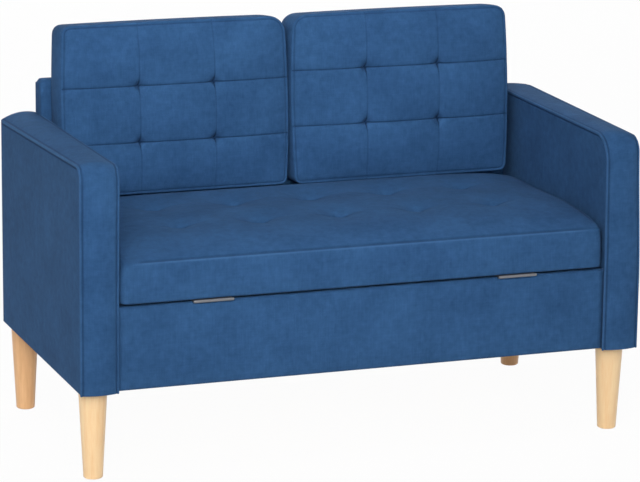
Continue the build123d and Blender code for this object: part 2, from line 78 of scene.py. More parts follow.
# Shader expressions
class Wire:
    """A node's output that can stand in a Python expression."""

    def __init__(self, shader: "Shader", socket: bpy.types.NodeSocket | None) -> None:
        """Keep the output and the shader that it belongs to."""
        self.shader = shader
        self.socket = socket

    def _math(self, operation: str, first: Any, second: Any) -> "Wire":
        """Add one Math node on two values or wires."""
        return self.shader.add("Math", {"operation": operation}, {0: first, 1: second})

    def __add__(self, other: Any) -> "Wire":
        """Sum."""
        return self._math("ADD", self, other)

    __radd__ = __add__

    def __sub__(self, other: Any) -> "Wire":
        """Difference."""
        return self._math("SUBTRACT", self, other)

    def __rsub__(self, other: Any) -> "Wire":
        """Difference with a number on the left."""
        return self._math("SUBTRACT", other, self)

    def __mul__(self, other: Any) -> "Wire":
        """Product."""
        return self._math("MULTIPLY", self, other)

    __rmul__ = __mul__

    def at_least(self, other: Any) -> "Wire":
        """The greater of two values."""
        return self._math("MAXIMUM", self, other)


class Shader:
    """The node tree of one material or world."""

    def __init__(self, owner: Material | bpy.types.World) -> None:
        """Start an empty tree.

        Args:
            owner: the material or world that the tree is for.
        """
        owner.use_nodes = True
        self.owner = owner
        self.tree = owner.node_tree
        self.tree.nodes.clear()

    def add(
        self,
        kind: str,
        settings: dict[str, Any] | None = None,
        inputs: dict[str | int, Any] | None = None,
        output: str | int = 0,
    ) -> Wire:
        """Add one node.

        Args:
            kind: the node's type, without the word ShaderNode.
            settings: its properties, set first.
            inputs: values or wires by socket name or number.
            output: which output to hand on.

        Returns:
            The chosen output.
        """
        node = self.tree.nodes.new(f"ShaderNode{kind}")
        for name, value in (settings or {}).items():
            setattr(node, name, value)
        for key, value in (inputs or {}).items():
            if isinstance(value, Wire):
                self.tree.links.new(value.socket, node.inputs[key])
            else:
                node.inputs[key].default_value = value
        return Wire(self, node.outputs[output] if node.outputs else None)

    def place(self) -> Wire:
        """Object coordinates, which are the sofa's own frame in metres."""
        return self.add("TexCoord", output="Object")

    def stretched(self, place: Wire, scale: tuple[float, float, float]) -> Wire:
        """Coordinates scaled by axis, for grain and threads."""
        return self.add("Mapping", inputs={"Vector": place, "Scale": scale})

    def noise(self, place: Wire, scale: float, detail: float = 2.0, rough: float = 0.5) -> Wire:
        """Cloudy value about 0.5, with that many features to a metre."""
        inputs = {"Vector": place, "Scale": scale, "Detail": detail, "Roughness": rough}
        return self.add("TexNoise", inputs=inputs)

    def mask(self, name: str) -> Wire:
        """A value stored on the mesh, 0 where there is none."""
        return self.add("Attribute", {"attribute_name": name}, output="Fac")

    def mix(self, share: Any, first: Any, second: Any) -> Wire:
        """Blend of two colours."""
        return self.add("Mix", {"data_type": "RGBA"}, {0: share, 6: first, 7: second}, output=2)

    def bump(self, height: Wire, depth: float) -> Wire:
        """Surface normal for a relief of that depth in metres."""
        return self.add("Bump", inputs={"Strength": 1.0, "Distance": depth, "Height": height})

    def ray(self, kind: str) -> Wire:
        """1 for a ray of that kind, such as Camera, and 0 for others."""
        return self.add("LightPath", output=f"Is {kind} Ray")

    def surface(self, **inputs: Any) -> Material:
        """Close the material with a Principled surface.

        Args:
            inputs: values or wires for its sockets, with _ for a space in the name.

        Returns:
            The finished material.
        """
        named = {key.replace("_", " "): value for key, value in inputs.items()}
        shaded = self.add("BsdfPrincipled", inputs=named)
        self.add("OutputMaterial", inputs={"Surface": shaded})
        return self.owner


# Finishes
@dataclass(frozen=True)
class WovenCloth:
    """Short-pile upholstery cloth with a fine weave, soft streaks, darker seams, painted shade round the
    tufts and painted highlights on seam edges.
    """

    name: str
    dark: Colour
    light: Colour
    seam: Colour
    edge_highlight: Colour
    stitch_half_width: float = 0.0021
    clouds_per_metre: float = 11.0
    mottles_per_metre: float = 70.0
    threads_per_metre: float = 420.0
    thread_length: float = 14.0
    pile_per_metre: float = 1500.0
    contrast: float = 2.6
    relief: float = 0.0012

    def make(self) -> Material:
        """Build the cloth, with the sewn lines, the painted shade near tufts and the painted highlights on
        seam rims and welt crests that are stored on each mesh.

        Returns:
            The material.
        """
        shader = Shader(bpy.data.materials.new(self.name))
        place = shader.place()
        clouds = shader.noise(place, self.clouds_per_metre)
        mottles = shader.noise(place, self.mottles_per_metre, 4.0, 0.6)
        across = self.threads_per_metre
        along = across / self.thread_length
        warp = shader.noise(shader.stretched(place, (across, across, along)), 1.0)
        weft = shader.noise(shader.stretched(place, (along, across, across)), 1.0)
        pile = shader.noise(place, self.pile_per_metre, 1.0)
        tone = 0.30 * clouds + 0.34 * mottles + 0.16 * warp + 0.12 * weft + 0.08 * pile
        spread = (tone - 0.5) * self.contrast + 0.5
        offset = shader.mask("stitch_distance")
        near = (1 - offset.at_least(0 - offset) * (1 / self.stitch_half_width)).at_least(0)
        # The stitch mask darkens the sewn lines in the seam colour, and near each tuft it also holds painted
        # shade for the deepening creases
        stitched_and_shaded = near * shader.mask("stitch_and_tuft_shade")
        colour = shader.mix(spread, self.dark, self.light)
        # Painted highlight: a lighter blue wherever the mesh marks a seam rim or welt crest
        highlighted = shader.mix(shader.mask("edge_highlight"), colour, self.edge_highlight)
        sewn = shader.mix(stitched_and_shaded, highlighted, self.seam)
        height = 0.35 * mottles + 0.35 * pile + 0.2 * warp + 0.2 * weft - 0.9 * stitched_and_shaded
        return shader.surface(
            Base_Color=sewn,
            Roughness=0.92,
            Specular_IOR_Level=0.12,
            Sheen_Weight=0.025,
            Sheen_Roughness=0.45,
            Sheen_Tint=(0.55, 0.68, 0.85, 1.0),
            Normal=shader.bump(height, self.relief),
        )


@dataclass(frozen=True)
class Timber:
    """Wood with grain along one axis."""

    name: str
    dark: Colour
    light: Colour
    along: str
    rings_per_metre: float = 55.0
    grain_length: float = 18.0
    roughness: float = 0.5
    coat: float = 0.0
    edge_shade: Colour | None = None
    pores_per_ring: float = 6.0
    contrast: float = 2.4
    relief: float = 0.0003

    def make(self) -> Material:
        """Build the wood, with the cut edges of a board that faces sideways painted near black: darker end
        grain, deepened into painted shade.

        Returns:
            The material.
        """
        shader = Shader(bpy.data.materials.new(self.name))
        place = shader.place()
        scale = [self.rings_per_metre] * 3
        scale["XYZ".index(self.along)] /= self.grain_length
        fine = [self.pores_per_ring * value for value in scale]
        bands = shader.noise(shader.stretched(place, tuple(scale)), 1.0, 3.0, 0.55)
        pores = shader.noise(shader.stretched(place, tuple(fine)), 1.0, 3.0, 0.6)
        figure = (0.65 * bands + 0.35 * pores - 0.5) * self.contrast + 0.5
        colour = shader.mix(figure, self.dark, self.light)
        # Painted shade: faces that don't point along X turn near black
        if self.edge_shade:
            normal = shader.add("TexCoord", output="Normal")
            sideways = shader.add("SeparateXYZ", inputs={0: normal}, output="X")
            colour = shader.mix(1 - sideways * sideways, colour, self.edge_shade)
        return shader.surface(
            Base_Color=colour,
            Roughness=self.roughness + 0.12 * pores,
            Coat_Weight=self.coat,
            Coat_Roughness=0.3,
            Normal=shader.bump(0.4 * bands + 0.6 * pores, self.relief),
        )


@dataclass(frozen=True)
class Metal:
    """Plated steel with a faintly uneven shine."""

    name: str
    tint: Colour
    roughness: float = 0.3
    dull_share: float = 0.72
    smears_per_metre: float = 90.0
    brushing: tuple[float, float, float] = (40.0, 900.0, 900.0)
    relief: float = 0.00008

    def make(self) -> Material:
        """Build the metal.

        Returns:
            The material.
        """
        shader = Shader(bpy.data.materials.new(self.name))
        place = shader.place()
        smear = shader.noise(place, self.smears_per_metre, 3.0)
        grain = shader.noise(shader.stretched(place, self.brushing), 1.0)
        dull = tuple(self.dull_share * value for value in self.tint[:3]) + (1.0,)
        return shader.surface(
            Base_Color=shader.mix(smear, dull, self.tint),
            Metallic=1.0,
            Roughness=self.roughness + 0.18 * smear,
            Normal=shader.bump(grain, self.relief),
        )


@dataclass(frozen=True)
class PressedBoard:
    """Smooth fibreboard or foam with small flecks."""

    name: str
    dark: Colour
    light: Colour
    flecks_per_metre: float = 600.0
    roughness: float = 0.75
    clouds_per_metre: float = 12.0
    relief: float = 0.0002

    def make(self) -> Material:
        """Build the board.

        Returns:
            The material.
        """
        shader = Shader(bpy.data.materials.new(self.name))
        place = shader.place()
        flecks = shader.noise(place, self.flecks_per_metre, 3.0, 0.7)
        clouds = shader.noise(place, self.clouds_per_metre)
        colour = shader.mix(0.6 * flecks + 0.4 * clouds, self.dark, self.light)
        relief = shader.bump(flecks, self.relief)
        return shader.surface(Base_Color=colour, Roughness=self.roughness, Normal=relief)


# Mesh handling
def object_from(name: str, shape: bmesh.types.BMesh) -> Piece:
    """Turn a bmesh into a new object at the origin and free it.

    Args:
        name: the piece's name.
        shape: its form.

    Returns:
        The object, linked into the scene.
    """
    bmesh.ops.recalc_face_normals(shape, faces=shape.faces)
    mesh = bpy.data.meshes.new(name)
    shape.to_mesh(mesh)
    shape.free()
    piece = bpy.data.objects.new(name, mesh)
    bpy.context.scene.collection.objects.link(piece)
    return piece


def settle_modifiers(piece: Piece) -> None:
    """Replace a piece's mesh by what its modifiers make of it.

    Args:
        piece: the object.
    """
    graph = bpy.context.evaluated_depsgraph_get()
    made = piece.evaluated_get(graph)
    mesh = bpy.data.meshes.new_from_object(made, preserve_all_data_layers=True, depsgraph=graph)
    before = piece.data
    piece.modifiers.clear()
    piece.data = mesh
    bpy.data.meshes.remove(before)


def points_of(piece: Piece, what: str = "co") -> Array:
    """Read three numbers for each vertex of a piece: where it is, or another property.

    Args:
        piece: the object.
        what: the vertices' property.

    Returns:
        One row for each vertex.
    """
    flat = np.zeros(len(piece.data.vertices) * 3)
    piece.data.vertices.foreach_get(what, flat)
    return flat.reshape(-1, 3)


def normals_of(piece: Piece) -> Array:
    """A piece's vertex normals, one row each."""
    return points_of(piece, "normal")


def put_points(piece: Piece, points: Array) -> None:
    """Move a piece's vertices."""
    piece.data.vertices.foreach_set("co", points.ravel())
    piece.data.update()


def store(piece: Piece, name: str, values: Array) -> None:
    """Keep one number for each vertex on the mesh."""
    kept = piece.data.attributes.get(name) or piece.data.attributes.new(name, "FLOAT", "POINT")
    kept.data.foreach_set("value", values.astype(np.float32))


def stored(piece: Piece, name: str) -> Array:
    """Read back the numbers kept by store.

    Args:
        piece: the object.
        name: what the numbers were kept as.

    Returns:
        One number for each vertex.
    """
    values = np.zeros(len(piece.data.vertices), np.float32)
    piece.data.attributes[name].data.foreach_get("value", values)
    return values.astype(float)


def paint(piece: Piece, material: Material) -> None:
    """Give a piece one material.

    Args:
        piece: the object.
        material: what it gets in every slot.
    """
    if piece.material_slots:
        for slot in piece.material_slots:
            slot.material = material
    else:
        piece.data.materials.append(material)


def upholster(piece: Piece, cloth: Material, body: str, nodes: tuple[str, ...]) -> None:
    """Dress a padded piece, and say what it moves with and what it stands for.

    Args:
        piece: the object, in place.
        cloth: its material.
        body: the body that it rides on.
        nodes: the solids that it replaces.
    """
    piece.data.polygons.foreach_set("use_smooth", [True] * len(piece.data.polygons))
    piece.data.update()
    paint(piece, cloth)
    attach(piece, body)
    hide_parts(*nodes)


def modify(piece: Piece, kind: str, **settings: Any) -> None:
    """Change a piece's mesh by one modifier.

    Args:
        piece: the object.
        kind: the modifier's type.
        settings: its properties.
    """
    modifier = piece.modifiers.new(kind.lower(), kind)
    for name, value in settings.items():
        setattr(modifier, name, value)
    settle_modifiers(piece)


def grid_block(name: str, counts: tuple[int, int, int]) -> Piece:
    """A unit cube about the origin, cut into quads.

    Args:
        name: the piece's name.
        counts: quads along X, Y and Z.

    Returns:
        The new object.
    """
    shape = bmesh.new()
    bmesh.ops.create_cube(shape, size=1.0)
    for axis, count in enumerate(counts):
        spans = {edge: abs(edge.verts[0].co[axis] - edge.verts[1].co[axis]) for edge in shape.edges}
        long = [edge for edge, span in spans.items() if span > 0.9]
        bmesh.ops.subdivide_edges(shape, edges=long, cuts=count - 1, use_grid_fill=True)
    return object_from(name, shape)


def round_corner(first: Array, second: Array) -> tuple[Array, Array]:
    """Bend square corners into quarter discs.

    Args:
        first: distances past the corner's centre along one axis.
        second: the same along the other axis.

    Returns:
        Both distances, moved where both are above 0.
    """
    far = np.maximum(np.maximum(first, second), TINY)
    turn = math.pi / 4 * np.minimum(first, second) / far
    wide = first >= second
    both = (first > 0) & (second > 0)
    bent_first = far * np.where(wide, np.cos(turn), np.sin(turn))
    bent_second = far * np.where(wide, np.sin(turn), np.cos(turn))
    return np.where(both, bent_first, first), np.where(both, bent_second, second)


def shares(points: Array, low: Vector | Array, high: Vector | Array) -> Array:
    """Where points are in a box, from 0 to 1: one row for each axis."""
    corner = np.array(low)
    return ((points - corner) / (np.array(high) - corner)).T


def crowd(share: Array, amount: float = 0.75) -> Array:
    """Shares of a length, moved closer together towards both ends."""
    return share - amount * np.sin(2 * math.pi * share) / (2 * math.pi)


def bell(value: Array, width: float) -> Array:
    """Bell curve about 0."""
    return np.exp(-((value / width) ** 2))


def ease(value: Array, start: float, end: float) -> Array:
    """Smooth step from 0 at start to 1 at end."""
    share = np.clip((value - start) / (end - start), 0, 1)
    return share * share * (3 - 2 * share)


def dome(share: Array, power: float = 4.0) -> Array:
    """Height share of a padded face, 0 at both edges and nearly 1 over the middle."""
    return 1 - np.abs(np.clip(2 * share - 1, -1, 1)) ** power


@dataclass
class Inflation:
    """Cloth simulation that swells a cover over its filling."""

    cap: float
    pressure: float = 4.0
    frames: int = 20
    stretch: float = 20.0
    bend: float = 0.6
    mass: float = 0.25
    quality: int = 6

    def run(self, piece: Piece, held: Array) -> None:
        """Swell a piece in place.

        Args:
            piece: the object, with an even mesh.
            held: for each vertex, 1 where it is sewn or glued fast and 0 where it is free.
        """
        before = points_of(piece)
        group = piece.vertex_groups.new(name="held")
        levels = np.round(held, 2)
        for level in np.unique(levels[levels > 0]):
            group.add(np.flatnonzero(levels == level).tolist(), float(level), "REPLACE")
        cloth = piece.modifiers.new("cloth", "CLOTH")
        settings = cloth.settings
        settings.quality = self.quality
        settings.mass = self.mass
        settings.tension_stiffness = self.stretch
        settings.compression_stiffness = self.stretch
        settings.shear_stiffness = self.stretch / 3
        settings.bending_stiffness = self.bend
        settings.use_pressure = True
        settings.uniform_pressure_force = self.pressure
        settings.effector_weights.gravity = 0.0
        settings.vertex_group_mass = group.name
        cloth.collision_settings.use_collision = False
        cloth.collision_settings.use_self_collision = False
        cloth.point_cache.frame_start = 1
        cloth.point_cache.frame_end = self.frames
        scene = bpy.context.scene
        for number in range(1, self.frames + 1):
            scene.frame_set(number)
        settle_modifiers(piece)
        scene.frame_set(1)
        moves = points_of(piece) - before
        length = np.linalg.norm(moves, axis=1, keepdims=True)
        put_points(piece, before + moves * np.minimum(1.0, self.cap / np.maximum(length, TINY)))
        piece.vertex_groups.clear()


# Padded pieces
@dataclass
class TuftedPad:
    """A sewn pad, made lying on its back: X across, Y along, Z through it from the back."""

    # Size, tufts and mesh
    name: str
    width: float
    length: float
    edge: float
    crown: float
    columns: int
    rows: int
    tuft_depth: float
    tuft_reach: float
    corner_radii: tuple[float, float]
    foot_radius: float
    cell: float
    inflation: Inflation

    # Swell of the upper face
    side_rise: float = 0.0
    side_power: float = 4.0
    head_power: float = 4.0
    rear_dip: float = 0.0
    rear_dip_span: tuple[float, float] = (0.35, 0.7)
    valley_depth: float = 0.0
    valley_reach: float = 0.02

    # Drawn-in, bowed and sagging edges
    side_bow: float = 0.0
    side_bulge: float = 0.0
    head_bow: float = 0.0
    head_power_along: int = 6
    back_drop: float = 0.0
    row_shift: float = 0.0
    sag: float = 0.0
    sag_power: int = 8
    rim_tuck: float = 0.0
    rim_power: int = 6
    corner_tucks: tuple[float, float] = (0.0, 0.0)
    corner_reach: float = 0.05
    low_tuck: float = 0.4
    base_recess: float = 0.0
    base_rim: tuple[float, float] = (0.001, 0.007)

    # How firmly the swelling cover is held
    seam_hold: float = 0.9
    line_hold: float = 0.5
    tuft_hold_cells: float = 1.5

    # Sewn lines and tufts
    row_depth: float = 0.0
    column_depth: float = 0.0
    crease_depth: float = 0.0
    column_crease: float = 1.0
    fold_width: float = 1.0
    fold_reach: float = 0.004
    pucker_share: float = 0.4
    pucker_reach: float = 0.005
    tuft_shade_reach: float = 0.010
    tuft_shade_strength: float = 1.5
    row_ink: float = 0.75
    column_ink: float = 0.3
    least_ink: float = 0.05

    # Outer seam
    seam_depth: float = 0.0016
    seam_width: float = 0.005
    groove_width: float = 0.002
    lip_height: float = 0.001
    lip_width: float = 0.003
    seam_ink: float = 0.5
    seam_highlight: float = 0.0
    highlight_width: float = 0.002
    corner_fade: float = 0.0
    fade_start: float = 0.2

    def _block(self) -> Piece:
        """Make the plain block, standing on its back, with grid lines where the rows and columns are.

        Returns:
            The new object.
        """
        across = (self.columns + 1) * round(self.width / self.cell / (self.columns + 1))
        along = (self.rows + 1) * round(self.length / self.cell / (self.rows + 1))
        through = max(round(self.edge / self.cell), 2)
        piece = grid_block(self.name, (across, along, through))
        size = np.array((self.width, self.length, self.edge))
        put_points(piece, (points_of(piece) + (0, 0.5, 0.5)) * size)
        return piece

    def _inward(self, points: Array) -> tuple[Array, Array]:
        """Distances of points to the nearer side and to the nearer end."""
        half = self.length / 2
        return self.width / 2 - np.abs(points[:, 0]), half - np.abs(points[:, 1] - half)

    def _mark(self, piece: Piece, points: Array) -> None:
        """Keep the distances to the outer seam, the front corners, the sewn lines and the tufts on the mesh.

        Args:
            piece: the plain block.
            points: its vertices.
        """
        across, along = self._inward(points)
        front = points[:, 2] > self.edge - TOUCH
        inward = np.where(front, np.minimum(across, along), 0)
        store(piece, "rim", np.where(front, inward, self.edge - points[:, 2]))
        store(piece, "front", front.astype(float))
        store(piece, "corner", np.hypot(across, points[:, 1]))
        places_x = [((n + 1) / (self.columns + 1) - 0.5) * self.width for n in range(self.columns)]
        places_y = [(n + 1) / (self.rows + 1) * self.length for n in range(self.rows)]
        to_column = np.min([np.abs(points[:, 0] - x) for x in places_x], axis=0)
        to_row = np.min([np.abs(points[:, 1] - y) for y in places_y], axis=0)
        store(piece, "column", np.where(front, to_column, FAR))
        store(piece, "row", np.where(front, to_row, FAR))

    def _round_corners(self, points: Array) -> Array:
        """Bend the square corners of the grid into arcs, seen from above.

        Args:
            points: the block's vertices.

        Returns:
            The moved vertices.
        """
        middle = np.array((0, self.length / 2))
        flat = points[:, :2] - middle
        head = np.where(flat[:, 0] < 0, *self.corner_radii)
        radius = np.where(flat[:, 1] > 0, head, self.foot_radius)[:, None]
        core = np.array((self.width, self.length)) / 2 - radius
        over = np.abs(flat) - core
        bent = np.column_stack(round_corner(over[:, 0], over[:, 1]))
        rounded = points.copy()
        rounded[:, :2] = np.where(over > 0, np.sign(flat) * (core + bent), flat) + middle
        return rounded

    def _distances(self, piece: Piece) -> tuple[Array, Array, Array]:
        """Distances of each point to the nearest column, row and tuft."""
        column, row = stored(piece, "column"), stored(piece, "row")
        return column, row, np.hypot(column, row)

    def _crown(self, piece: Piece, across: Array, along: Array) -> Array:
        """Height of the upper face over its edge, with wide valleys along the lines and round the tufts.

        Args:
            piece: the marked block.
            across: shares of the width.
            along: shares of the length.

        Returns:
            A height for each vertex.
        """
        lengthways = np.where(along < 0.5, dome(along), dome(along, self.head_power))
        sideways = dome(across, self.side_power)
        rise = (self.crown * sideways + self.side_rise * (1 - sideways)) * lengthways
        column, row, tuft = self._distances(piece)
        valley = self.valley_depth * bell(np.minimum(column, row), self.valley_reach)
        funnel = self.tuft_depth * np.exp(-tuft / self.tuft_reach)
        dip = self.rear_dip * ease(along, *self.rear_dip_span)
        return rise - (valley + funnel) * dome(across) * dome(along) - dip

    def _swell(self, piece: Piece, points: Array) -> Array:
        """Raise the block into a crown, and draw in its sides, corners, ends and back.

        Args:
            piece: the marked block.
            points: its vertices, with rounded corners.

        Returns:
            The moved vertices.
        """
        across = points[:, 0] / self.width + 0.5
        along = points[:, 1] / self.length
        share = points[:, 2] / self.edge
        to_side, to_end = self._inward(points)
        widen = self.side_bow * dome(along, 2) + self.side_bulge * dome(share, 2)
        widen -= self.rim_tuck * share**self.rim_power
        corner = np.hypot(to_side, points[:, 1])
        tuck = np.where(points[:, 0] < 0, *self.corner_tucks)
        tuck *= ease(self.corner_reach - corner, 0.0, self.corner_reach)
        tuck *= (1 - dome(share)) * np.where(share > 0.5, 1.0, self.low_tuck)
        sag = self.sag * share * (1 - along) ** self.sag_power
        droop = self.head_bow * (1 - dome(across, 2)) + self.back_drop * (1 - share)
        recess = self.base_recess * (1 - share) * ease(np.minimum(to_side, to_end), *self.base_rim)
        raised = points.copy()
        raised[:, 0] *= 1 + 2 / self.width * widen
        raised[:, 0] -= np.sign(points[:, 0]) * tuck
        raised[:, 1] += self.row_shift * dome(along, 2) - sag - droop * along**self.head_power_along
        raised[:, 2] += share * self._crown(piece, across, along) + recess
        return raised

    def _held(self, piece: Piece, points: Array) -> Array:
        """Say how firmly each point is held: the back and tufts fast, seams and lines less so.

        Args:
            piece: the marked block.
            points: its vertices before any bending.

        Returns:
            A value from 0 to 1 for each vertex.
        """
        column, row, tuft = self._distances(piece)
        holds = (
            (points[:, 2] < TOUCH, 1.0),
            (tuft < self.tuft_hold_cells * self.cell, 1.0),
            (stored(piece, "rim") < TOUCH, self.seam_hold),
            (np.minimum(column, row) < TOUCH, self.line_hold * (self.row_depth > 0)),
        )
        return np.max([there * firmness for there, firmness in holds], axis=0)

    def _sew(self, piece: Piece) -> None:
        """Press the seams, sewn lines and tufts into the swollen pad, and mark them for the cloth, with
        painted shade near the tufts and a painted highlight along the seam rim.

        Args:
            piece: the marked pad.
        """
        rim, front = stored(piece, "rim"), stored(piece, "front")
        column, row, tuft = self._distances(piece)
        # Without a fade, the step ends where the corner is, and the seam shows everywhere
        clear = ease(stored(piece, "corner"), self.fade_start * self.corner_fade - TINY, self.corner_fade)
        pull = self.crease_depth * np.exp(-tuft / self.tuft_reach)
        fold = self.fold_reach * self.fold_width
        groove = self.seam_depth * front * bell(rim - self.seam_width, self.groove_width)
        groove -= self.lip_height * bell(rim, self.lip_width)
        groove *= clear
        groove += (self.row_depth + pull) * np.exp(-row / fold)
        groove += (self.column_depth + self.column_crease * pull) * np.exp(-column / fold)
        groove += self.pucker_share * self.tuft_depth * np.exp(-tuft / self.pucker_reach)
        put_points(piece, points_of(piece) - normals_of(piece) * groove[:, None])
        # Painted shade: the sewn lines near each tuft get darker, where the creases deepen
        tuft_shade = self.tuft_shade_strength * np.exp(-tuft / self.tuft_shade_reach)
        row_ink = np.clip(self.row_ink * (self.row_depth > 0) + tuft_shade, 0, 1)
        column_ink = np.clip(self.column_ink * (self.column_depth > 0) + self.column_crease * tuft_shade, 0, 1)
        seam = np.where(front > 0.5, np.abs(rim - self.seam_width), FAR)
        lines = np.array((seam, row, column)) / self.fold_width
        inks = np.array((self.seam_ink * clear, row_ink, column_ink))
        nearest = np.argmin(lines + FAR * (inks < self.least_ink), axis=0)[None]
        store(piece, "stitch_distance", np.take_along_axis(lines, nearest, 0)[0])
        store(piece, "stitch_and_tuft_shade", np.take_along_axis(inks, nearest, 0)[0])
        # Painted highlight: a lighter band along the seam rim
        store(piece, "edge_highlight", clear * self.seam_highlight * bell(rim, self.highlight_width))
        for name in ("rim", "front", "corner", "column", "row"):
            piece.data.attributes.remove(piece.data.attributes[name])

    def build(self, place: Matrix) -> Piece:
        """Make the pad and set it in place.

        Args:
            place: where the middle of its lower rear edge goes in the sofa's frame.

        Returns:
            The finished piece.
        """
        piece = self._block()
        flat = points_of(piece)
        self._mark(piece, flat)
        put_points(piece, self._swell(piece, self._round_corners(flat)))
        self.inflation.run(piece, self._held(piece, flat))
        modify(piece, "SUBSURF", levels=1, render_levels=1)
        self._sew(piece)
        piece.data.transform(place)
        return piece


@dataclass(frozen=True)
class Settling:
    """How far one top corner of an arm has moved in use: the padding isn't alike everywhere."""

    rear: bool
    outer: bool
    inward: float = 0.0
    rise: float = 0.0


@dataclass
class Arm:
    """A boxed arm: two flat sides and a crowned strip over the top and down the front."""

    side: Side
    cloth: Material
    crown: float = 0.008
    crown_reach: float = 0.012
    outer_radius: float = 0.027
    inner_radius: float = 0.027
    rear_crown: float = 1.0
    rear_fade: float = 0.02
    outer_puff: float = 0.003
    puff_power: int = 6
    puff_edge_power: int = 12
    settling: tuple[Settling, ...] = ()
    settle_from: float = 0.3
    underlap: float = 0.001
    counts: tuple[int, int, int] = (10, 70, 54)
    welt_height: float = 0.0024
    welt_half_width: float = 0.0035
    welt_offset: float = 0.002
    welt_highlight: float = 0.45
    groove_depth: float = 0.0011
    groove_width: float = 0.0015
    stitch_ink: float = 0.95
    fill: float = 0.9

    def __post_init__(self) -> None:
        """Read the arm's place from the frame."""
        self.node = f"{self.side.word}_arm_cover"
        low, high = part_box(self.node)
        self.low = np.array((low.x, low.y + self.crown, low.z - self.underlap))
        self.high = np.array((high.x, high.y, high.z - self.crown))

    def _mark(self, piece: Piece, points: Array) -> None:
        """Keep the distance to the strip's seams: above 0 on the sides and below 0 on the strip.

        Args:
            piece: the plain block.
            points: its vertices.
        """
        across = np.minimum(points[:, 0] - self.low[0], self.high[0] - points[:, 0])
        depth = np.minimum(points[:, 1] - self.low[1], self.high[2] - points[:, 2])
        strip = np.where(depth < TOUCH, -across, FAR)
        store(piece, "seam", np.where(across < TOUCH, depth, strip))

    def _shape(self, points: Array) -> Array:
        """Round the top front corner, crown the strip, puff the outer side and settle the corners.

        Args:
            points: the block's vertices.

        Returns:
            The moved vertices.
        """
        moved = points.copy()
        share = shares(points, self.low, self.high)[0]
        outer = share if self.side is Side.RIGHT else 1 - share
        radius = self.inner_radius + (self.outer_radius - self.inner_radius) * outer
        centre_y = self.low[1] + radius
        centre_z = self.high[2] - radius
        forward, upward = round_corner(centre_y - points[:, 1], points[:, 2] - centre_z)
        moved[:, 1] = centre_y - forward
        moved[:, 2] = centre_z + upward
        reach_y = np.maximum(forward, 0)
        reach_z = np.maximum(upward, 0)
        reach = np.maximum(np.hypot(reach_y, reach_z), TINY)
        across, along, up = shares(moved, self.low, self.high)
        arch = self.crown * np.clip(dome(across, 2), 0, 1) * bell(radius - reach, self.crown_reach)
        arch *= 1 - (1 - self.rear_crown) * np.clip(along, 0, 1)
        puff = self.outer_puff * dome(along, self.puff_power) * dome(up, self.puff_power)
        moved[:, 0] += self.side.value * puff * outer**self.puff_edge_power
        moved[:, 1] -= arch * reach_y / reach
        moved[:, 2] += arch * reach_z / reach
        for corner in self.settling:
            near = (along if corner.rear else 1 - along) * (outer if corner.outer else 1 - outer)
            near = np.clip(near, 0, 1) * ease(up, self.settle_from, 1.0)
            moved[:, 0] -= self.side.value * corner.inward * near
            moved[:, 2] += corner.rise * near
        return moved

    def _sew(self, piece: Piece) -> None:
        """Raise the seams into flat welts with a line on either side, and paint a highlight on the welt
        crests.

        Args:
            piece: the marked arm.
        """
        seam = stored(piece, "seam") - self.welt_offset
        inside = np.clip(1 - (seam / self.welt_half_width) ** 2, 0, 1)
        to_line = np.abs(np.abs(seam) - self.welt_half_width - self.groove_width)
        relief = self.welt_height * np.sqrt(inside) - self.groove_depth * bell(to_line, self.groove_width)
        points = points_of(piece)
        relief *= ease(self.high[1] - points[:, 1], 0, self.rear_fade)
        put_points(piece, points + normals_of(piece) * relief[:, None])
        store(piece, "stitch_distance", to_line)
        store(piece, "stitch_and_tuft_shade", np.full_like(to_line, self.stitch_ink))
        # Painted highlight: lighter cloth on the welt crests
        store(piece, "edge_highlight", self.welt_highlight * inside**2)
        piece.data.attributes.remove(piece.data.attributes["seam"])

    def build(self) -> Piece:
        """Make the arm in the place of its solid.

        Returns:
            The finished piece.
        """
        piece = grid_block(f"{self.side.word}_arm", self.counts)
        points = self.low + crowd(points_of(piece) + 0.5) * (self.high - self.low)
        self._mark(piece, points)
        put_points(piece, self._shape(points))
        modify(piece, "SUBSURF", levels=1, render_levels=1)
        self._sew(piece)
        upholster(piece, self.cloth, "frame", (self.node,))
        return piece


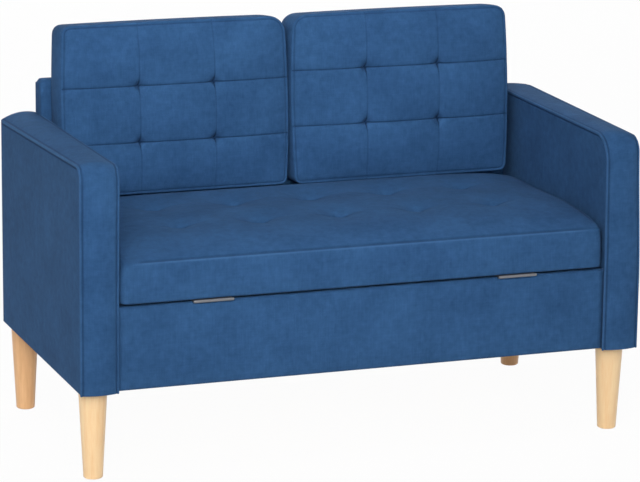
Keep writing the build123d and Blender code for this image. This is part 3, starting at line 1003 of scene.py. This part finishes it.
@dataclass
class Backrest:
    """The thin upholstered back, upright behind and leaning in front."""

    cloth: Material
    top_thickness: float = 0.040
    edge_radius: float = 0.008
    edge_segments: int = 4
    puff: float = 0.002
    puff_power: int = 8
    voxel: float = 0.008
    seam_inset: float = 0.012
    seam_ink: float = 0.8
    rear_reach: float = 0.004
    fill: float = 0.9

    def _block(self, low: Vector, high: Vector) -> Piece:
        """Push the back's profile along X and round its upper edges.

        Args:
            low: the solid's lowest corner.
            high: its highest corner.

        Returns:
            The new object, in even quads.
        """
        seat_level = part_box("seat_board")[0].z
        top = high.y - self.top_thickness
        profile = [(high.y, low.z), (high.y, high.z), (top, high.z), (low.y, seat_level), (low.y, low.z)]
        shape = bmesh.new()
        face = shape.faces.new([shape.verts.new((low.x, y, z)) for y, z in profile])
        grown = bmesh.ops.extrude_face_region(shape, geom=[face])
        moved = [item for item in grown["geom"] if isinstance(item, bmesh.types.BMVert)]
        bmesh.ops.translate(shape, vec=(high.x - low.x, 0, 0), verts=moved)
        rim = [edge for edge in shape.edges if all(vert.co.z > high.z - TOUCH for vert in edge.verts)]
        bmesh.ops.bevel(
            shape, geom=rim, offset=self.edge_radius,
            affect="EDGES", segments=self.edge_segments, profile=0.5, material=-1,
        )
        piece = object_from("backrest", shape)
        modify(piece, "REMESH", mode="VOXEL", voxel_size=self.voxel)
        return piece

    def build(self) -> Piece:
        """Make the backrest, with a sewn line near the edges of its rear face.

        Returns:
            The finished piece.
        """
        low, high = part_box("back_cover")
        piece = self._block(low, high)
        points = points_of(piece)
        facing = normals_of(piece)[:, 1]
        across, _, up = shares(points, low, high)
        to_side = np.minimum(points[:, 0] - low.x, high.x - points[:, 0])
        to_edge = np.minimum(to_side, high.z - points[:, 2])
        store(piece, "stitch_distance", to_edge - self.seam_inset)
        store(piece, "stitch_and_tuft_shade", self.seam_ink * (points[:, 1] > high.y - self.rear_reach))
        swell = self.puff * dome(across, self.puff_power) * dome(up, self.puff_power)
        points[:, 1] += swell * facing
        put_points(piece, points)
        upholster(piece, self.cloth, "frame", ("back_cover",))
        return piece


@dataclass
class FrontRail:
    """The covered rail under the seat: cloth over thin padding, wrapped round the board."""

    cloth: Material
    edge_radius: float = 0.007
    edge_segments: int = 5
    wall: float = 0.004
    puff: float = 0.0015
    puff_powers: tuple[int, int] = (8, 4)
    front_reach: float = 0.001
    stations: int = 80
    height_cuts: int = 12
    fill: float = 0.9

    def _strip(self, low: Vector, high: Vector) -> Piece:
        """Bend the wrap's section round the board and draw it out along X.

        Args:
            low: the solid's lowest corner.
            high: its highest corner.

        Returns:
            The new object, still without thickness.
        """
        shape = bmesh.new()
        section = [(high.y, high.z), (low.y, high.z), (low.y, low.z), (high.y, low.z)]
        spots = [shape.verts.new((low.x, y, z)) for y, z in section]
        for pair in zip(spots, spots[1:]):
            shape.edges.new(pair)
        bmesh.ops.bevel(
            shape, geom=[vert for vert in spots if abs(vert.co.y - low.y) < TOUCH], offset=self.edge_radius,
            affect="VERTICES", segments=self.edge_segments, profile=0.5, material=-1,
        )
        step = (high.x - low.x) / self.stations
        edges = list(shape.edges)
        for _ in range(self.stations):
            grown = bmesh.ops.extrude_edge_only(shape, edges=edges)["geom"]
            moved = [item for item in grown if isinstance(item, bmesh.types.BMVert)]
            edges = [item for item in grown if isinstance(item, bmesh.types.BMEdge)]
            bmesh.ops.translate(shape, vec=(step, 0, 0), verts=moved)
        half = (high.z - low.z) / 2
        tall = [edge for edge in shape.edges if abs(edge.verts[0].co.z - edge.verts[1].co.z) > half]
        bmesh.ops.subdivide_edges(shape, edges=tall, cuts=self.height_cuts, use_grid_fill=True)
        return object_from("front_rail_wrap", shape)

    def build(self) -> Piece:
        """Make the wrap, swell its front a little and give it its thickness.

        Returns:
            The finished piece.
        """
        low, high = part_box("front_rail_cover")
        piece = self._strip(low, high)
        points = points_of(piece)
        across, _, up = shares(points, low, high)
        swell = self.puff * dome(across, self.puff_powers[0]) * dome(up, self.puff_powers[1])
        points[:, 1] -= swell * (points[:, 1] < low.y + self.front_reach)
        put_points(piece, points)
        modify(piece, "SOLIDIFY", thickness=self.wall, offset=-1.0)
        upholster(piece, self.cloth, "frame", ("front_rail_cover",))
        return piece


@dataclass
class Seat:
    """The tufted seat lid over its board."""

    cloth: Material
    fill: float = 0.7

    def build(self) -> Piece:
        """Make the seat pad in the place of its solid.

        Returns:
            The finished piece.
        """
        low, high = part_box("seat_pad")
        pad = TuftedPad(
            name="seat_cover", width=high.x - low.x, length=high.y - low.y, edge=0.081, crown=0.036,
            columns=5, rows=2, tuft_depth=0.020, tuft_reach=0.030,
            corner_radii=(0.010, 0.010), foot_radius=0.013, cell=0.0075, inflation=Inflation(cap=0.010),
            side_rise=0.019, side_power=9.0, head_power=8.0, rear_dip=0.004,
            rim_tuck=0.005, corner_tucks=(0.009, 0.0), base_recess=0.004,
            crease_depth=0.006, column_crease=0.15, fold_width=2.6, tuft_shade_reach=0.016,
            seam_ink=0.65, seam_highlight=0.55, corner_fade=0.06,
        )
        piece = pad.build(Matrix.Translation((0, low.y, low.z)))
        upholster(piece, self.cloth, "seat", ("seat_pad", "seat_foam"))
        return piece


@dataclass
class BackCushion:
    """A loose back cushion leaning on the backrest."""

    side: Side
    cloth: Material
    lean: float = math.radians(4.3)
    edge: float = 0.075
    height: float = 0.348
    row_shift: float = 0.0
    outer_trim: float = 0.003
    sag: float = 0.004
    corner_radii: tuple[float, float] = (0.03, 0.03)
    fill: float = 0.7

    def build(self) -> Piece:
        """Make the cushion in the place of its solid.

        Returns:
            The finished piece.
        """
        body = f"{self.side.word}_cushion"
        low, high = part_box(f"{body}_cover")
        pad = TuftedPad(
            name=f"{self.side.word}_back_cushion", width=high.x - low.x - self.outer_trim, length=self.height,
            edge=self.edge, crown=0.020, columns=2, rows=2, tuft_depth=0.012, tuft_reach=0.014,
            corner_radii=self.corner_radii, foot_radius=0.014, cell=0.005, inflation=Inflation(cap=0.012),
            valley_depth=0.0025, valley_reach=0.03,
            side_bow=0.006, side_bulge=0.006, head_bow=0.0015, back_drop=0.003,
            row_shift=self.row_shift, sag=self.sag,
            row_depth=0.0018, column_depth=0.0009, crease_depth=0.0009,
        )
        middle = (low.x + high.x - self.side.value * self.outer_trim) / 2
        foot = Vector((middle, high.y - self.height * math.sin(self.lean), low.z))
        along = Vector((0, math.sin(self.lean), math.cos(self.lean)))
        outward = Vector((0, -math.cos(self.lean), math.sin(self.lean)))
        turned = Matrix((Vector((1, 0, 0)), along, outward)).transposed().to_4x4()
        piece = pad.build(Matrix.Translation(foot) @ turned)
        upholster(piece, self.cloth, body, (f"{body}_cover", f"{body}_foam"))
        return piece


# Solids that show as they are
@dataclass
class Hardware:
    """Legs, hinges, boards, timbers and fasteners. A finish has the name of the slot that it is for."""

    leg_wood: Timber = Timber(
        "leg_wood", (0.90, 0.555, 0.275, 1), (1.0, 0.755, 0.440, 1), "Z", 110.0, 24.0, 0.38, 0.25
    )
    # The rear legs use a darker, browner copy of the leg wood: painted shade for the arms' shadow over them
    rear_leg_shaded_dark: Colour = (0.70, 0.365, 0.155, 1)
    rear_leg_shaded_light: Colour = (0.90, 0.545, 0.275, 1)
    plywood: Timber = Timber("plywood", (0.52, 0.36, 0.20, 1), (0.70, 0.53, 0.33, 1), "X", 30.0, 12.0, 0.6)
    # Near-black cut edges on the side boards: painted shade for the gap under the seat's corners, far darker
    # than real end grain
    side_board_edge_shade: Colour = (0.03, 0.022, 0.016, 1)
    timber: Timber = Timber("frame_timber", (0.50, 0.34, 0.18, 1), (0.72, 0.53, 0.32, 1), "X")
    fibreboard: PressedBoard = PressedBoard("fibreboard", (0.22, 0.13, 0.07, 1), (0.34, 0.21, 0.12, 1))
    foam: PressedBoard = PressedBoard("foam", (0.72, 0.64, 0.42, 1), (0.86, 0.80, 0.60, 1), 900.0, 0.95)
    hinge_steel: Metal = Metal("hinge_steel", (0.26, 0.265, 0.28, 1.0), 0.32)
    fastener_steel: Metal = Metal("fastener_steel", (0.58, 0.57, 0.53, 1.0), 0.34)

    def dress(self) -> None:
        """Give each carried-over solid its finish, with the timbers' grain along their length."""
        plain = (
            self.leg_wood, self.plywood, self.fibreboard, self.foam, self.hinge_steel, self.fastener_steel
        )
        by_slot = {finish.name: finish.make() for finish in plain}
        timbers = [
            replace(self.timber, name=f"frame_timber_{axis.lower()}", along=axis).make() for axis in "XYZ"
        ]
        edge_shaded = replace(self.plywood, name="plywood_sides_edge_shade", along="Y", edge_shade=self.side_board_edge_shade).make()
        # Painted shade: the rear legs' darker copy of the leg wood
        shaded_leg_wood = replace(
            self.leg_wood, name="rear_leg_wood_shaded", dark=self.rear_leg_shaded_dark, light=self.rear_leg_shaded_light
        ).make()
        by_node = {f"{side.word}_side_board": edge_shaded for side in Side}
        by_node |= {f"rear_{side.word}_leg": shaded_leg_wood for side in Side}
        slots = {row["node"]: row["material_slot"] for row in frame["record"]["subparts"]}
        for name, piece in frame["nodes"].items():
            if slots[name] == "upholstery":
                continue
            low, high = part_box(name)
            longest = max(range(3), key=lambda axis: (high - low)[axis])
            paint(piece, by_node.get(name) or by_slot.get(slots[name]) or timbers[longest])


# Light and camera
@dataclass(frozen=True)
class Softbox:
    """A square lamp: where it hangs, what it points at, and how widely it shines."""

    name: str
    place: tuple[float, float, float]
    size: float
    power: float
    aim: tuple[float, float, float] = (0.0, 0.0, 0.4)
    spread: float = math.pi

    def hang(self) -> None:
        """Put the lamp into the scene."""
        light = bpy.data.lights.new(self.name, "AREA")
        light.shape = "SQUARE"
        light.size = self.size
        light.energy = self.power
        light.spread = self.spread
        lamp = bpy.data.objects.new(self.name, light)
        bpy.context.scene.collection.objects.link(lamp)
        spot = Vector(self.place)
        turn = (spot - Vector(self.aim)).to_track_quat("Z", "Y").to_matrix().to_4x4()
        lamp.matrix_world = Matrix.Translation(spot) @ turn


@dataclass
class Studio:
    """A pale floor, soft light and the camera."""

    camera_place: tuple[float, float, float] = (-2.23616, -6.06442, 1.93695)
    heading: float = math.radians(-20.278)
    pitch: float = math.radians(-13.569)
    roll: float = math.radians(0.686)
    focal_pixels: float = 3257.7
    image_width: float = 640.0
    sensor_width: float = 36.0
    view_reach: float = 100.0
    ambient: float = 0.48
    floor_reach: float = 30.0
    floor_colour: Colour = (0.9, 0.9, 0.9, 1.0)
    floor_glow: float = 0.96
    lamps: tuple[Softbox, ...] = (
        Softbox("key", (-3.8, -6.0, 4.6), 3.4, 195.0),
        Softbox("overhead", (-0.5, -0.8, 4.2), 2.4, 25.0),
        Softbox("rear", (1.8, 6.5, 2.6), 3.0, 70.0),
        Softbox("grid", (-1.4, -4.4, 2.4), 1.6, 6.2, aim=(-0.12, 0.15, 0.80), spread=math.radians(30)),
    )

    def camera(self) -> None:
        """Stand the camera where the photograph was taken from."""
        lens = bpy.data.cameras.new("camera")
        lens.sensor_width = self.sensor_width
        lens.lens = self.focal_pixels / self.image_width * self.sensor_width
        lens.clip_end = self.view_reach
        camera = bpy.data.objects.new("camera", lens)
        bpy.context.scene.collection.objects.link(camera)
        camera.matrix_world = (
            Matrix.Translation(self.camera_place)
            @ Matrix.Rotation(self.heading, 4, "Z")
            @ Matrix.Rotation(math.pi / 2 + self.pitch, 4, "X")
            @ Matrix.Rotation(self.roll, 4, "Z")
        )
        bpy.context.scene.camera = camera

    def floor(self) -> None:
        """Lay the floor, which looks white and still takes a soft shadow."""
        shape = bmesh.new()
        bmesh.ops.create_grid(shape, x_segments=1, y_segments=1, size=self.floor_reach)
        floor = object_from("floor", shape)
        shader = Shader(bpy.data.materials.new("floor_white"))
        shown = shader.ray("Camera").at_least(shader.ray("Glossy")).at_least(shader.ray("Transmission"))
        matt = shader.add("BsdfDiffuse", inputs={"Color": self.floor_colour})
        glow = shader.add("Emission", inputs={"Color": (1, 1, 1, 1), "Strength": 1.0})
        joined = shader.add("MixShader", inputs={0: self.floor_glow * shown, 1: matt, 2: glow})
        shader.add("OutputMaterial", inputs={"Surface": joined})
        paint(floor, shader.owner)

    def sky(self) -> None:
        """Give even light from all round, plain white where it is seen."""
        world = bpy.data.worlds.new("studio")
        bpy.context.scene.world = world
        shader = Shader(world)
        shown = shader.ray("Camera").at_least(shader.ray("Glossy"))
        strength = self.ambient + (1 - self.ambient) * shown
        back = shader.add("Background", inputs={"Strength": strength})
        shader.add("OutputWorld", inputs={"Surface": back})

    def build(self) -> None:
        """Set up floor, light and camera."""
        self.floor()
        self.sky()
        for lamp in self.lamps:
            lamp.hang()
        self.camera()


def main() -> None:
    """Build the pieces in order."""
    logging.basicConfig(level=logging.INFO, format="%(name)s: %(message)s")
    bpy.context.scene.view_settings.view_transform = "Standard"
    cloth = WovenCloth(
        "blue_cloth",
        dark=(0.0165, 0.0560, 0.1400, 1.0),
        light=(0.0382, 0.1130, 0.2570, 1.0),
        seam=(0.008, 0.028, 0.076, 1.0),
        edge_highlight=(0.062, 0.158, 0.330, 1.0),
    ).make()
    Studio().build()
    Hardware().dress()
    left_settling = (
        Settling(rear=False, outer=True, rise=0.008),
        Settling(rear=False, outer=False, inward=0.002, rise=0.004),
        Settling(rear=True, outer=True, rise=-0.014),
        Settling(rear=True, outer=False, rise=-0.002),
    )
    right_settling = (
        Settling(rear=False, outer=True, inward=0.009, rise=-0.005),
        Settling(rear=False, outer=False, inward=0.003),
        Settling(rear=True, outer=True, inward=-0.003, rise=-0.004),
    )
    makers = (
        Arm(Side.LEFT, cloth, settling=left_settling),
        Arm(
            Side.RIGHT, cloth, outer_radius=0.032, inner_radius=0.055, rear_crown=0.35,
            settling=right_settling,
        ),
        Backrest(cloth),
        FrontRail(cloth),
        Seat(cloth),
        BackCushion(Side.LEFT, cloth, row_shift=-0.014, corner_radii=(0.016, 0.032)),
        BackCushion(Side.RIGHT, cloth, row_shift=-0.0005, corner_radii=(0.030, 0.024), sag=0.006),
    )
    for maker in makers:
        LOG.info("%s", maker.build().name)


if __name__ == "__main__":
    main()
